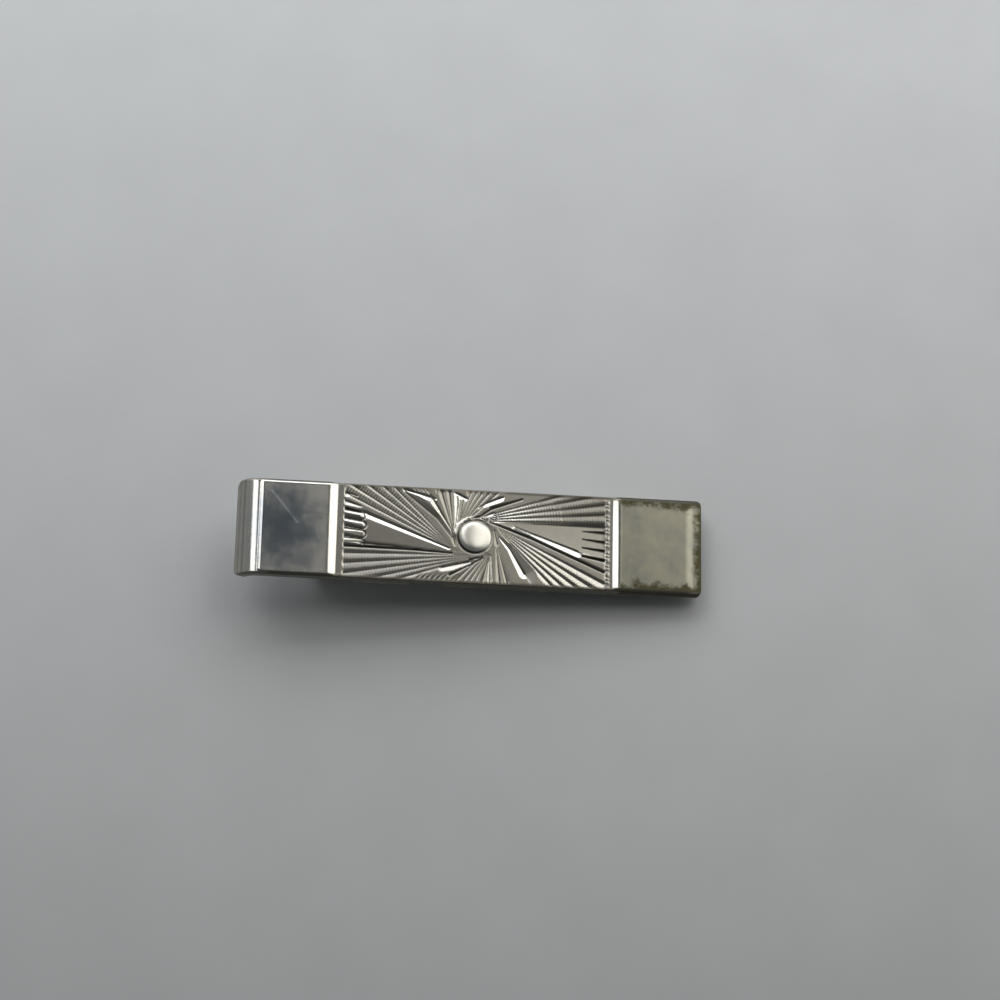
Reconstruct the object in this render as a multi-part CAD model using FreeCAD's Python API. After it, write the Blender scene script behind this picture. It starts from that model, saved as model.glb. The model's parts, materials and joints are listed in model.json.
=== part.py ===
"""Tie clip with a spring lever: a struck face bar, a clasp base soldered under it, and a lever that
turns on a riveted pin against a torsion spring.

Millimetres, +Z up, +X from the hooked end of the bar to its tip. The clip lies on its flat lever with
the jaw shut, so the bar leans down towards its tip. Every piece is modelled round the pin centre, and
the pieces of the bar are drawn level and then leaned about the pin.
"""
import FreeCAD, Part
import math
import os

from FreeCAD import Vector

# Face bar
BAR_LENGTH = 41.9
BAR_WIDTH = 9.0
BAR_THICK = 0.9
HOOK_RADIUS = 2.4
HOOK_ANGLE = 68.0
HOOK_CORNER_RADIUS = 0.8
TIP_CORNER_RADIUS = 0.5
EDGE_ROLL = 0.16

# Pads, bevels and sunk panel: the hooked pad and the panel start from the hooked end, and the other pad
# and its bevel keep their lengths from the tip
LEFT_PAD_END = 8.4
PANEL_START = 9.05
TIP_PAD_LENGTH = 7.45
TIP_BEVEL_LENGTH = 0.6
PANEL_SINK = 0.17
BORDER_WIDTH = 0.7

# Boss in the middle of the panel, with a sunk ring round it
BOSS_RADIUS = 1.5
BOSS_RISE = 0.34
RING_WIDTH = 0.25
RING_DEPTH = 0.06

# Pinwheel of flutes: each fan spreads from a focus beside the boss, placed in shares of its radius
FLUTE_WIDTH_SHARE = 0.5
FLUTE_DEPTH = 0.16
FLUTE_ROOT_WIDTH = 0.06
LONG_FOCUS_SHARES = (-1.07, -0.98)
LONG_FAN_ANGLES = (131.2, 160.3)
LONG_FAN_COUNT = 6
SHORT_FOCUS_SHARES = (0.35, -1.17)
SHORT_FAN_ANGLES = (174.9, 201.6)
SHORT_FAN_COUNT = 6
HATCH_ANGLES = (204.0, 238.0)
HATCH_COUNT = 6
HATCH_START_SHARE = 0.55

# Comb of strokes that run in from the border
STROKE_LENGTH = 1.9
STROKE_WIDTH = 0.44
STROKE_TIP_WIDTH = 0.14
STROKE_PITCH = 0.85
STROKE_COUNT = 3
STROKE_MIDDLE = 0.39

# Bent strokes between the fans, through points in shares of the field's half length and half width
BEND_STROKE_SHARES = (
    ((-0.18, -0.04), (-0.34, 0.49), (-0.54, 0.88)),
    ((-0.17, 0.07), (-0.25, 0.56), (-0.32, 0.86)),
    ((-0.14, 0.3), (-0.125, 0.84)),
    ((0.01, 0.57), (0.07, 0.76), (0.18, 0.91)),
    ((0.03, 0.45), (0.17, 0.65), (0.37, 0.85)),
)
BEND_STROKE_START_WIDTH = 0.14
BEND_STROKE_WIDTH = 0.5

# Clasp base
BASE_START = 9.7
BASE_END = 39.2
BASE_THICK = 0.5
BASE_INSET = 0.05
BASE_LEFT_CORNER = 2.2
BASE_RIGHT_CORNER = 0.8
EAR_GAP = 3.56
EAR_RADIUS = 1.1
EAR_RELIEF = 0.35
BEND_RADIUS = 0.15

# Hinge pin
PIVOT_PLACE = 17.2
PIN_RADIUS = 0.5
PIN_HEAD_RADIUS = 0.8
PIN_HEAD_HEIGHT = 0.3
PIN_DROP = 1.25
PIN_RISE = 1.25

# Lever
LEVER_THICK = 0.45
LEVER_EAR_RADIUS = 1.1
THUMB_REACH = 11.2
THUMB_WALL = 0.45
THUMB_CORNER_RADIUS = 1.4
JAW_REACH = 20.5
FLANGE_REACH = 16.5
LIP_HEIGHT = 0.4
TOOTH_DEPTH = 0.26
TOOTH_COUNT = 5

# Torsion spring
WIRE_RADIUS = 0.16
COIL_RADIUS = 0.86
COIL_TURNS = 3
COIL_GAP = 0.61
COIL_EASING_TURN = 0.25
LEG_LENGTH = 5.0

# Clearances
SIDE_CLEARANCE = 0.08
RIVET_CLEARANCE = 0.02
RUNNING_CLEARANCE = 0.05
JAW_CLEARANCE = 0.05
LEG_CLEARANCE = 0.04
OVERRUN = 0.5

# Levels, half widths and places that follow from the sizes above, measured from the pin centre
BASE_TOP = PIN_DROP + BASE_THICK
BAR_TOP = BASE_TOP + BAR_THICK
FIELD_LEVEL = BAR_TOP - PANEL_SINK
RIGHT_PAD_START = BAR_LENGTH - TIP_PAD_LENGTH
PANEL_END = RIGHT_PAD_START - TIP_BEVEL_LENGTH
BAR_LEFT = -PIVOT_PLACE
BAR_TIP = BAR_LEFT + BAR_LENGTH
BOSS_PLACE = (PANEL_START + PANEL_END) / 2 - PIVOT_PLACE
FIELD_HALF_LENGTH = (PANEL_END - PANEL_START) / 2 - BORDER_WIDTH
WEB_TOP = -PIN_RISE
FLOOR = WEB_TOP - LEVER_THICK
EAR_IN = EAR_GAP / 2
EAR_OUT = EAR_IN + BASE_THICK
LEVER_EAR_IN = EAR_OUT + SIDE_CLEARANCE
LEVER_EAR_OUT = LEVER_EAR_IN + LEVER_THICK
TOOTH_TOP = WEB_TOP + LIP_HEIGHT
COIL_PITCH = COIL_GAP + 2 * WIRE_RADIUS
UP = Vector(0, 0, 1)


def seat_angle(drop, reach, level):
    """The angle by which a point at (reach, drop) turns about the pin to stand at a level, in radians."""
    return math.asin(level / math.hypot(reach, drop)) - math.atan2(drop, reach)


# The teeth stand below the pin, so the bar leans until its base comes down onto them
LEAN = seat_angle(TOOTH_TOP, JAW_REACH, PIN_DROP - JAW_CLEARANCE)


def line(start, end):
    return Part.LineSegment(start, end).toShape()


def arc(start, middle, end):
    return Part.Arc(start, middle, end).toShape()


def polyline(points):
    """The straight edges from each point to the next."""
    return [line(start, end) for start, end in zip(points, points[1:])]


def face(edges):
    return Part.Face(Part.Wire(edges))


def across(profile, half_width):
    """Carry a face drawn at Y = 0 to both sides of the middle."""
    solid = profile.extrude(Vector(0, 2 * half_width, 0))
    solid.translate(Vector(0, -half_width, 0))
    return solid


def both_sides(solid):
    """A solid and its mirror image across the middle plane."""
    return [solid, solid.mirror(Vector(0, 0, 0), Vector(0, 1, 0))]


def crosswise_rod(radius, half_length):
    return Part.makeCylinder(radius, 2 * half_length, Vector(0, -half_length, 0), Vector(0, 1, 0))


def on_circle(centre, radius, angle):
    """A point of a circle in the X-Z plane, by its angle in degrees from +X towards +Z."""
    turn = math.radians(angle)
    return centre + Vector(radius * math.cos(turn), 0, radius * math.sin(turn))


def rounded(solid, radius, is_wanted):
    """Fillet the edges that pass a test."""
    return solid.makeFillet(radius, [edge for edge in solid.Edges if is_wanted(edge)])


def is_vertical(edge):
    box = edge.BoundBox
    return box.ZLength > box.XLength + box.YLength


def bar_blank():
    """The bent strip with raised pads: a side profile carried across the width, with eased corners."""
    centre = Vector(BAR_LEFT + HOOK_RADIUS * math.sin(math.radians(HOOK_ANGLE)), 0, BAR_TOP - HOOK_RADIUS)
    inner_radius = HOOK_RADIUS - BAR_THICK
    lip_angle = 90 + HOOK_ANGLE
    middle_angle = 90 + HOOK_ANGLE / 2
    outer_lip = on_circle(centre, HOOK_RADIUS, lip_angle)
    inner_lip = on_circle(centre, inner_radius, lip_angle)
    top = [
        on_circle(centre, HOOK_RADIUS, 90),
        Vector(BAR_LEFT + LEFT_PAD_END, 0, BAR_TOP),
        Vector(BAR_LEFT + PANEL_START, 0, FIELD_LEVEL),
        Vector(BAR_LEFT + PANEL_END, 0, FIELD_LEVEL),
        Vector(BAR_LEFT + RIGHT_PAD_START, 0, BAR_TOP),
        Vector(BAR_TIP, 0, BAR_TOP),
        Vector(BAR_TIP, 0, BASE_TOP),
        on_circle(centre, inner_radius, 90),
    ]
    outer_hook = arc(outer_lip, on_circle(centre, HOOK_RADIUS, middle_angle), top[0])
    inner_hook = arc(top[-1], on_circle(centre, inner_radius, middle_angle), inner_lip)
    profile = face([outer_hook] + polyline(top) + [inner_hook, line(inner_lip, outer_lip)])
    blank = across(profile, BAR_WIDTH / 2)

    def ends_hook(edge):
        return edge.BoundBox.YLength < EDGE_ROLL and edge.BoundBox.XMax < inner_lip.x + EDGE_ROLL

    def ends_tip(edge):
        return is_vertical(edge) and edge.BoundBox.XMin > BAR_TIP - EDGE_ROLL

    def rims_top(edge):
        box = edge.BoundBox
        beside = box.YLength < EDGE_ROLL and box.XLength > BAR_THICK and box.ZMax > BAR_TOP - EDGE_ROLL
        at_tip = box.XMax > BAR_TIP - EDGE_ROLL and box.ZMin > BAR_TOP - EDGE_ROLL
        return beside or at_tip

    blank = rounded(blank, HOOK_CORNER_RADIUS, ends_hook)
    blank = rounded(blank, TIP_CORNER_RADIUS, ends_tip)
    return rounded(blank, EDGE_ROLL, rims_top)


def groove(points, widths):
    """A cutter for a V-shaped groove through points of the field, as deep as it is wide at each of them.

    Sections at the ends stand square to the groove, and one at a bend stands in its mitre.
    """
    runs = [(there - here).normalize() for here, there in zip(points, points[1:])]
    ways = [before + after for before, after in zip(runs[:1] + runs, runs + runs[-1:])]
    above = UP * OVERRUN
    sections = []
    for point, way, width in zip(points, ways, widths):
        reach = UP.cross(way).normalize() * (width / 2)
        bottom = point - UP * (FLUTE_DEPTH * width / max(widths))
        sections.append(Part.makePolygon([point + reach + above, point + reach, bottom, point - reach,
                                          point - reach + above, point + reach + above]))
    return Part.makeLoft(sections, True, True)


def reach_to_field_edge(focus, direction):
    """The distance from a point of the field to its border or to past the side of the bar."""
    along = (math.copysign(FIELD_HALF_LENGTH, direction.x) - focus.x) / direction.x
    aside = (math.copysign(BAR_WIDTH / 2 + OVERRUN, direction.y) - focus.y) / direction.y
    return min(along, aside)


def fan(focus, angles, count, start_share=0.0):
    """Grooves evenly turned about a focus, each with its share of the space between neighbours."""
    step = (angles[1] - angles[0]) / count
    widening = 2 * math.tan(math.radians(step) / 2) * FLUTE_WIDTH_SHARE
    grooves = []
    for index in range(count):
        turn = math.radians(angles[0] + step * (index + 1 / 2))
        direction = Vector(math.cos(turn), math.sin(turn), 0)
        end = reach_to_field_edge(focus, direction)
        start = max(FLUTE_ROOT_WIDTH / widening, end * start_share)
        points = [focus + direction * distance for distance in (start, end)]
        grooves.append(groove(points, [widening * start, widening * end]))
    return grooves


def stroke_comb():
    """Short strokes that run in from the border of the panel, one above the other."""
    strokes = []
    for index in range(STROKE_COUNT):
        aside = STROKE_MIDDLE + STROKE_PITCH * (index - (STROKE_COUNT - 1) / 2)
        border = Vector(-FIELD_HALF_LENGTH, aside, 0)
        tip = border + Vector(STROKE_LENGTH, 0, 0)
        strokes.append(groove([tip, border], [STROKE_TIP_WIDTH, STROKE_WIDTH]))
    return strokes


def bend_strokes():
    """Strokes that start narrow beside the boss and widen evenly towards the side of the bar."""
    strokes = []
    for shares in BEND_STROKE_SHARES:
        points = [Vector(along * FIELD_HALF_LENGTH, aside * BAR_WIDTH / 2, 0) for along, aside in shares]
        growth = (BEND_STROKE_WIDTH - BEND_STROKE_START_WIDTH) / (len(points) - 1)
        widths = [BEND_STROKE_START_WIDTH + growth * index for index in range(len(points))]
        strokes.append(groove(points, widths))
    return strokes


def pinwheel():
    """All grooves of the panel: half of the pinwheel, and the same turned half way round the boss."""
    long_focus = Vector(*LONG_FOCUS_SHARES) * BOSS_RADIUS
    short_focus = Vector(*SHORT_FOCUS_SHARES) * BOSS_RADIUS
    half = fan(long_focus, LONG_FAN_ANGLES, LONG_FAN_COUNT)
    half += fan(short_focus, SHORT_FAN_ANGLES, SHORT_FAN_COUNT)
    half += fan(short_focus, HATCH_ANGLES, HATCH_COUNT, HATCH_START_SHARE)
    half += stroke_comb() + bend_strokes()
    grooves = []
    for cutter in half:
        twin = cutter.copy()
        twin.rotate(Vector(0, 0, 0), UP, 180)
        grooves += [cutter, twin]
    for cutter in grooves:
        cutter.translate(Vector(BOSS_PLACE, 0, FIELD_LEVEL))
    return grooves


def boss():
    """A domed disc that stands on the panel."""
    foot = FIELD_LEVEL - RING_DEPTH
    shoulder = FIELD_LEVEL + BOSS_RISE / 2
    crown = FIELD_LEVEL + BOSS_RISE
    ball = (BOSS_RADIUS**2 + (crown - shoulder)**2) / (2 * (crown - shoulder))
    half_turn = math.asin(BOSS_RADIUS / ball) / 2
    between = Vector(ball * math.sin(half_turn), 0, crown - ball + ball * math.cos(half_turn))
    edges = polyline([Vector(0, 0, crown), Vector(0, 0, foot), Vector(BOSS_RADIUS, 0, foot),
                      Vector(BOSS_RADIUS, 0, shoulder)])
    edges.append(arc(Vector(BOSS_RADIUS, 0, shoulder), between, Vector(0, 0, crown)))
    solid = face(edges).revolve(Vector(0, 0, 0), UP, 360)
    solid.translate(Vector(BOSS_PLACE, 0, 0))
    return solid


def face_bar():
    ring = Part.makeCylinder(BOSS_RADIUS + RING_WIDTH, OVERRUN + RING_DEPTH,
                             Vector(BOSS_PLACE, 0, FIELD_LEVEL - RING_DEPTH))
    return bar_blank().cut(pinwheel() + [ring]).fuse(boss()).removeSplitter()


def ear(inside, thick, plate_level, side, up):
    """One ear folded out of a plate, trimmed to a side view. up is 1 or -1, the way that it is folded.

    The section is a strip with a bend: plate_level is the face of the plate on the inside of the bend.
    """
    centre = Vector(0, inside - BEND_RADIUS, plate_level + up * BEND_RADIUS)

    def on_bend(radius, angle):
        turn = math.radians(angle)
        return centre + Vector(0, radius * math.sin(turn), -up * radius * math.cos(turn))

    outer = BEND_RADIUS + thick
    height = side.BoundBox.ZMax - side.BoundBox.ZMin
    rise = Vector(0, 0, up * height)
    section = face([
        arc(on_bend(outer, 0), on_bend(outer, 45), on_bend(outer, 90)),
        line(on_bend(outer, 90), on_bend(outer, 90) + rise),
        line(on_bend(outer, 90) + rise, on_bend(BEND_RADIUS, 90) + rise),
        line(on_bend(BEND_RADIUS, 90) + rise, on_bend(BEND_RADIUS, 90)),
        arc(on_bend(BEND_RADIUS, 90), on_bend(BEND_RADIUS, 45), on_bend(BEND_RADIUS, 0)),
        line(on_bend(BEND_RADIUS, 0), on_bend(outer, 0)),
    ])
    box = side.BoundBox
    section.translate(Vector(box.XMin, 0, 0))
    strip = section.extrude(Vector(box.XLength, 0, 0))
    return strip.common(across(side, inside + thick + OVERRUN))


def clasp_base():
    """A plate with eased corners and two ears folded down out of side notches."""
    half_width = BAR_WIDTH / 2 - BASE_INSET
    start = BAR_LEFT + BASE_START
    end = BAR_LEFT + BASE_END
    plate = Part.makeBox(end - start, 2 * half_width, BASE_THICK, Vector(start, -half_width, PIN_DROP))

    def corners_left(edge):
        return is_vertical(edge) and edge.BoundBox.XMax < 0

    def corners_right(edge):
        return is_vertical(edge) and edge.BoundBox.XMin > end - EDGE_ROLL

    plate = rounded(plate, BASE_LEFT_CORNER, corners_left)
    plate = rounded(plate, BASE_RIGHT_CORNER, corners_right)
    fold = EAR_IN - BEND_RADIUS
    notch_half = EAR_RADIUS + EAR_RELIEF
    notch = Part.makeBox(2 * notch_half, half_width, BASE_THICK + 2 * OVERRUN,
                         Vector(-notch_half, fold, PIN_DROP - OVERRUN))
    side = face(polyline([Vector(EAR_RADIUS, 0, 0), Vector(EAR_RADIUS, 0, BASE_TOP),
                          Vector(-EAR_RADIUS, 0, BASE_TOP), Vector(-EAR_RADIUS, 0, 0)])
                + [arc(Vector(-EAR_RADIUS, 0, 0), Vector(0, 0, -EAR_RADIUS), Vector(EAR_RADIUS, 0, 0))])
    ears = both_sides(ear(EAR_IN, BASE_THICK, PIN_DROP, side, -1))
    bore = crosswise_rod(PIN_RADIUS + RIVET_CLEARANCE, BAR_WIDTH)
    return plate.cut(both_sides(notch)).fuse(ears).cut(bore).removeSplitter()


def lever_side():
    """The side view of the lever's walls: a round ear that runs down in straight tapers to both ends."""
    pivot = Vector(0, 0, 0)
    jaw_end = Vector(FLANGE_REACH, 0, WEB_TOP)
    thumb_end = Vector(THUMB_CORNER_RADIUS - THUMB_REACH, 0, WEB_TOP + THUMB_WALL)

    def touch(end, way):
        bearing = math.atan2(end.z, end.x) + way * math.acos(LEVER_EAR_RADIUS / end.Length)
        return on_circle(pivot, LEVER_EAR_RADIUS, math.degrees(bearing))

    lip_start = JAW_REACH - LEVER_THICK - BEND_RADIUS
    outline = [touch(thumb_end, -1), thumb_end, Vector(thumb_end.x, 0, FLOOR), Vector(lip_start, 0, FLOOR),
               Vector(lip_start, 0, WEB_TOP), jaw_end, touch(jaw_end, 1)]
    return face(polyline(outline) + [arc(outline[-1], on_circle(pivot, LEVER_EAR_RADIUS, 90), outline[0])])


def lever_lip():
    """The jaw end of the lever, bent up and cut into a row of teeth."""
    bend = Vector(JAW_REACH - LEVER_THICK - BEND_RADIUS, 0, WEB_TOP + BEND_RADIUS)
    outer = BEND_RADIUS + LEVER_THICK
    inner_top = Vector(JAW_REACH - LEVER_THICK, 0, TOOTH_TOP)
    outer_top = Vector(JAW_REACH, 0, TOOTH_TOP)
    section = face([
        arc(*(on_circle(bend, outer, angle) for angle in (-90, -45, 0))),
        line(on_circle(bend, outer, 0), outer_top),
        line(outer_top, inner_top),
        line(inner_top, on_circle(bend, BEND_RADIUS, 0)),
        arc(*(on_circle(bend, BEND_RADIUS, angle) for angle in (0, -45, -90))),
        line(on_circle(bend, BEND_RADIUS, -90), on_circle(bend, outer, -90)),
    ])
    lip = across(section, LEVER_EAR_IN)
    pitch = 2 * LEVER_EAR_IN / TOOTH_COUNT
    notches = []
    for index in range(TOOTH_COUNT + 1):
        aside = Vector(inner_top.x - OVERRUN, index * pitch - LEVER_EAR_IN, TOOTH_TOP)
        slope = Vector(0, pitch / 2, 0)
        notch = face(polyline([aside - slope, aside + slope, aside - UP * TOOTH_DEPTH, aside - slope]))
        notches.append(notch.extrude(Vector(LEVER_THICK + 2 * OVERRUN, 0, 0)))
    return lip.cut(notches)


def lever():
    """A channel with two ears, a flat thumb tab at one end and a toothed lip at the other."""
    side = lever_side()
    fold = LEVER_EAR_IN - BEND_RADIUS
    length = side.BoundBox.XMax + THUMB_REACH
    web = Part.makeBox(length, 2 * fold, LEVER_THICK, Vector(-THUMB_REACH, -fold, FLOOR))

    def corners_thumb(edge):
        return is_vertical(edge) and edge.BoundBox.XMax < EDGE_ROLL - THUMB_REACH

    web = rounded(web, THUMB_CORNER_RADIUS, corners_thumb)
    walls = both_sides(ear(LEVER_EAR_IN, LEVER_THICK, WEB_TOP, side, 1))
    bore = crosswise_rod(PIN_RADIUS + RUNNING_CLEARANCE, BAR_WIDTH)
    return web.fuse(walls + [lever_lip()]).cut(bore).removeSplitter()


def hinge_pin():
    """A pin with a domed rivet head at each end."""
    shoulder = LEVER_EAR_OUT + SIDE_CLEARANCE
    ball = (PIN_HEAD_RADIUS**2 + PIN_HEAD_HEIGHT**2) / (2 * PIN_HEAD_HEIGHT)
    half_turn = math.asin(PIN_HEAD_RADIUS / ball) / 2
    crown = Vector(0, shoulder + PIN_HEAD_HEIGHT, 0)
    between = crown + Vector(ball * math.sin(half_turn), -ball * (1 - math.cos(half_turn)), 0)
    rim = Vector(PIN_HEAD_RADIUS, shoulder, 0)
    profile = face(polyline([crown, Vector(0, shoulder, 0), rim]) + [arc(rim, between, crown)])
    head = profile.revolve(Vector(0, 0, 0), Vector(0, 1, 0), 360)
    return crosswise_rod(PIN_RADIUS, shoulder).fuse(both_sides(head)).removeSplitter()


def biarc(start, start_way, end, end_way):
    """Two arcs that join two points and keep the directions at both."""
    chord = end - start
    ways = start_way + end_way
    bend = 2 * (1 - start_way.dot(end_way))
    reach = (math.sqrt(chord.dot(ways)**2 + bend * chord.dot(chord)) - chord.dot(ways)) / bend
    joint = (start + end + (start_way - end_way) * reach) * (1 / 2)

    def half(first, last, corner):
        middle = (first + last) * (1 / 2)
        cosine = math.cos((corner - first).getAngle(last - first))
        return arc(first, middle + (corner - middle) * (cosine / (1 + cosine)), last)

    return [half(start, joint, start + start_way * reach), half(joint, end, end - end_way * reach)]


def coil_route():
    """The middle line of the spring: a leg under the base, the turns, and a leg on the lever.

    Seen along the pin, the wire comes in over the top of the coil and leaves below it. The turns drift
    along the pin at a steady pitch, which fades in and out so that both legs stand square to the pin.
    """
    base_seat = seat_angle(COIL_RADIUS, LEG_LENGTH, PIN_DROP - WIRE_RADIUS - LEG_CLEARANCE)
    web_seat = seat_angle(COIL_RADIUS, LEG_LENGTH, PIN_RISE - WIRE_RADIUS - LEG_CLEARANCE)
    first = math.pi / 2 - LEAN - base_seat
    last = -math.pi / 2 + web_seat
    turns = COIL_TURNS + (first - last) / (2 * math.pi)

    def drift(turn):
        nearest = min(turn, turns - turn)
        eased = max(0.0, COIL_EASING_TURN - nearest)**2 / (2 * COIL_EASING_TURN)
        return COIL_PITCH * (turn - turns / 2 - math.copysign(eased, turn - turns / 2))

    def pace(turn):
        return COIL_PITCH * min(1.0, min(turn, turns - turn) / COIL_EASING_TURN)

    def place(turn):
        angle = first - 2 * math.pi * turn
        return Vector(COIL_RADIUS * math.cos(angle), drift(turn), COIL_RADIUS * math.sin(angle))

    def way(turn):
        angle = first - 2 * math.pi * turn
        speed = 2 * math.pi * COIL_RADIUS
        return Vector(speed * math.sin(angle), pace(turn), -speed * math.cos(angle)).normalize()

    halves = math.ceil(turns * 2)
    stations = [turns * index / halves for index in range(halves + 1)]
    edges = [line(place(0) - way(0) * LEG_LENGTH, place(0))]
    for here, there in zip(stations, stations[1:]):
        edges += biarc(place(here), way(here), place(there), way(there))
    edges.append(line(place(turns), place(turns) + way(turns) * LEG_LENGTH))
    return edges


def least_gap(edges):
    """The least clear space between stretches of the wire that are at least half a turn apart."""
    step = WIRE_RADIUS / 2
    apart = math.ceil(math.pi * COIL_RADIUS / step)
    points = [point for edge in edges for point in edge.discretize(Distance=step)]
    pairs = ((here, there) for index, here in enumerate(points) for there in points[index + apart:])
    return min(here.distanceToPoint(there) for here, there in pairs) - 2 * WIRE_RADIUS


def torsion_spring():
    edges = coil_route()
    start = edges[0].valueAt(edges[0].FirstParameter)
    way = edges[0].tangentAt(edges[0].FirstParameter)
    section = Part.Wire(Part.Circle(start, way, WIRE_RADIUS).toShape())
    route = Part.Wire(edges)
    spring = route.makePipeShell([section], True, False)
    expected = math.pi * WIRE_RADIUS**2 * route.Length
    print(f"spring: gap to itself {least_gap(edges):.3f} mm")
    print(f"spring: volume {spring.Volume / expected:.4f} of its section times its length")
    return spring


def main():
    bar_pieces = {"face_bar": face_bar(), "clasp_base": clasp_base()}
    for solid in bar_pieces.values():
        solid.rotate(Vector(0, 0, 0), Vector(0, 1, 0), math.degrees(LEAN))
    pieces = {**bar_pieces, "lever": lever(), "hinge_pin": hinge_pin(), "torsion_spring": torsion_spring()}
    box = Part.Compound(list(pieces.values())).optimalBoundingBox()
    origin = Vector((box.XMin + box.XMax) / 2, 0, FLOOR)
    os.makedirs("parts", exist_ok=True)
    for name, solid in pieces.items():
        solid.translate(-origin)
        solid.exportStep(f"parts/{name}.step")
        print(f"{name}: {len(solid.Solids)} solid, {len(solid.Faces)} faces, {solid.Volume:.2f} mm3")
    print(f"lean {math.degrees(LEAN):.3f} degrees, pin at {-origin.x:.4f}, 0, {-origin.z:.4f}")
    print(f"size {box.XLength:.2f} x {box.YLength:.2f} x {box.ZLength:.2f} mm")


main()
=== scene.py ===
"""Looks of the tie clip: a struck and silvered face bar over a nickelled spring clasp.

The scene is in metres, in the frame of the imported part: +X from the hooked end of the bar to its tip,
+Z up, standing on Z = 0. Sizes are written in millimetres. The pieces of the bar are drawn level round
the pin centre and then leaned about it, as the part itself is.
"""
import json
import math
from typing import NamedTuple

import bpy
import numpy as np
from mathutils import Matrix, Vector


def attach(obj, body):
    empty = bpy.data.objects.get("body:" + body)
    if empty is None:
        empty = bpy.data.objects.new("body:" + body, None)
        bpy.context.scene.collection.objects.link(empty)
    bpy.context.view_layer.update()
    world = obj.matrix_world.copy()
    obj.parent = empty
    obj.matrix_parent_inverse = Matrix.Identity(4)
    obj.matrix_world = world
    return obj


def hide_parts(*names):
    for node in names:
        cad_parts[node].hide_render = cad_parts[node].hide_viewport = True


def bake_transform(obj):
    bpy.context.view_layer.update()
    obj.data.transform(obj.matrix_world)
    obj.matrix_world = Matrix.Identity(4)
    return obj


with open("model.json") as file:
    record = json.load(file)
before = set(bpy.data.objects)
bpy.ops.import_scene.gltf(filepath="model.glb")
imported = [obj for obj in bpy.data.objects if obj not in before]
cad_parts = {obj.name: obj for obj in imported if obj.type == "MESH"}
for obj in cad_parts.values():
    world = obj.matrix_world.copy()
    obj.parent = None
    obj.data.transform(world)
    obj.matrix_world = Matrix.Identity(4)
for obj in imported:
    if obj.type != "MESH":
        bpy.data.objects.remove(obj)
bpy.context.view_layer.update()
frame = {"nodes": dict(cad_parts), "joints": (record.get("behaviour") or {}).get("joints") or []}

MM = 0.001

# Face bar, measured along it from its hooked end
BAR_LENGTH = 41.9
BAR_WIDTH = 9.0
BAR_THICK = 0.9
HOOK_RADIUS = 2.4
HOOK_ANGLE = math.radians(68.0)
HOOK_CORNER_RADIUS = 0.8
TIP_CORNER_RADIUS = 0.5
EDGE_ROLL = 0.16
UNDER_ROLL = 0.06
# Points less deep than this share of the upper roll belong to the struck top
TOP_ROLL_SHARE = 0.98
LEFT_PAD_END = 8.47
PANEL_START = 9.05
PANEL_END = 33.85
RIGHT_PAD_START = 34.4
PANEL_SINK = 0.17
BORDER_WIDTH = 0.7

# Fall of the pads from their middle line to their edges, which comes in over a stretch behind the hook
PAD_CROWN = 0.03
CROWN_RUN = (2.2, 4.2)

# Raised plates of the two pads: a low step with a bevel all round, from and to places along the bar
PLATES = [(2.1, 9.5), (33.2, 41.0)]
PLATE_HALF_WIDTH = 4.4
PLATE_CORNER = 0.5
PLATE_STEP = 0.09
PLATE_BEVEL = 0.3
PLATE_SIDE_BEVEL = 0.16

# Boss and the ring sunk round it, over which the cuts come in from just inside the boss
BOSS_PLACE = (PANEL_START + PANEL_END) / 2
BOSS_RADIUS = 1.5
BOSS_RISE = 0.34
BOSS_PEAK = -0.5
BOSS_FALL = 0.7
BOSS_FLATNESS = 6
BOSS_SHOULDER = 0.65
BOSS_SATIN_RIM = 0.12
RING_DEPTH = 0.06
RING_WIDTH = 0.25
RING_FADE = (-0.05, RING_WIDTH)

# Tarnish in that ring, with painted shade over it: both faded to both sides of its line; a little tarnish all
# round, and painted shade thickest where it faces the near left
RING_DARK_OFFSET = 0.03
RING_DARK_FADE = (0.02, 0.2)
RING_SOOT_LEAST = 0.15
RING_SHADE_WAY = (-0.6, -0.8)
RING_SHADE_TURN = (-0.2, 0.6)

# Raised crescent beside the boss, on its far left
CRESCENT_REACH = 1.74
CRESCENT_HALF_WIDTH = 0.24
CRESCENT_RISE = 0.1
CRESCENT_MIDDLE = math.radians(140.0)
CRESCENT_HALF_TURN = math.radians(56.0)
CRESCENT_HORN_START = 0.55
CRESCENT_POLISH = 0.8

# Uneven beaded ridge between the ribs and the border at the tip
BEAD_PLACE = 11.9
BEAD_HALF_WIDTH = 0.24
BEAD_RISE = 0.03
BEAD_PITCH = 0.43
BEAD_SWELL = 0.5
BEAD_UNEVENNESS = 1.4

# Border strip at the tip, which slopes down to the ends of the ribs
STRIP_DROP = 0.04
STRIP_POLISH = 0.35

# Where the ornament ends: past the borders of the field and the panel, and in from the long edges
FIELD_FADE = (-0.06, 0.1)
PANEL_FADE = (-0.05, 0.05)
EDGE_FLATTENING = 0.8
EDGE_FLAT_RUN = (0.4, 0.05)

# Clasp sizes that the lean and the spring follow from, measured from the pin centre
PIVOT_PLACE = 17.2
PIN_DROP = 1.25
PIN_RISE = 1.25
BASE_THICK = 0.5
LIP_HEIGHT = 0.4
JAW_REACH = 20.5
JAW_CLEARANCE = 0.05
WIRE_RADIUS = 0.16
COIL_RADIUS = 0.86
COIL_TURNS = 3
COIL_GAP = 0.61
COIL_EASING_TURN = 0.25
LEG_LENGTH = 5.0
LEG_CLEARANCE = 0.04
COIL_POINTS = 240
LEG_POINTS = 12
WIRE_SIDES = 16

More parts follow.
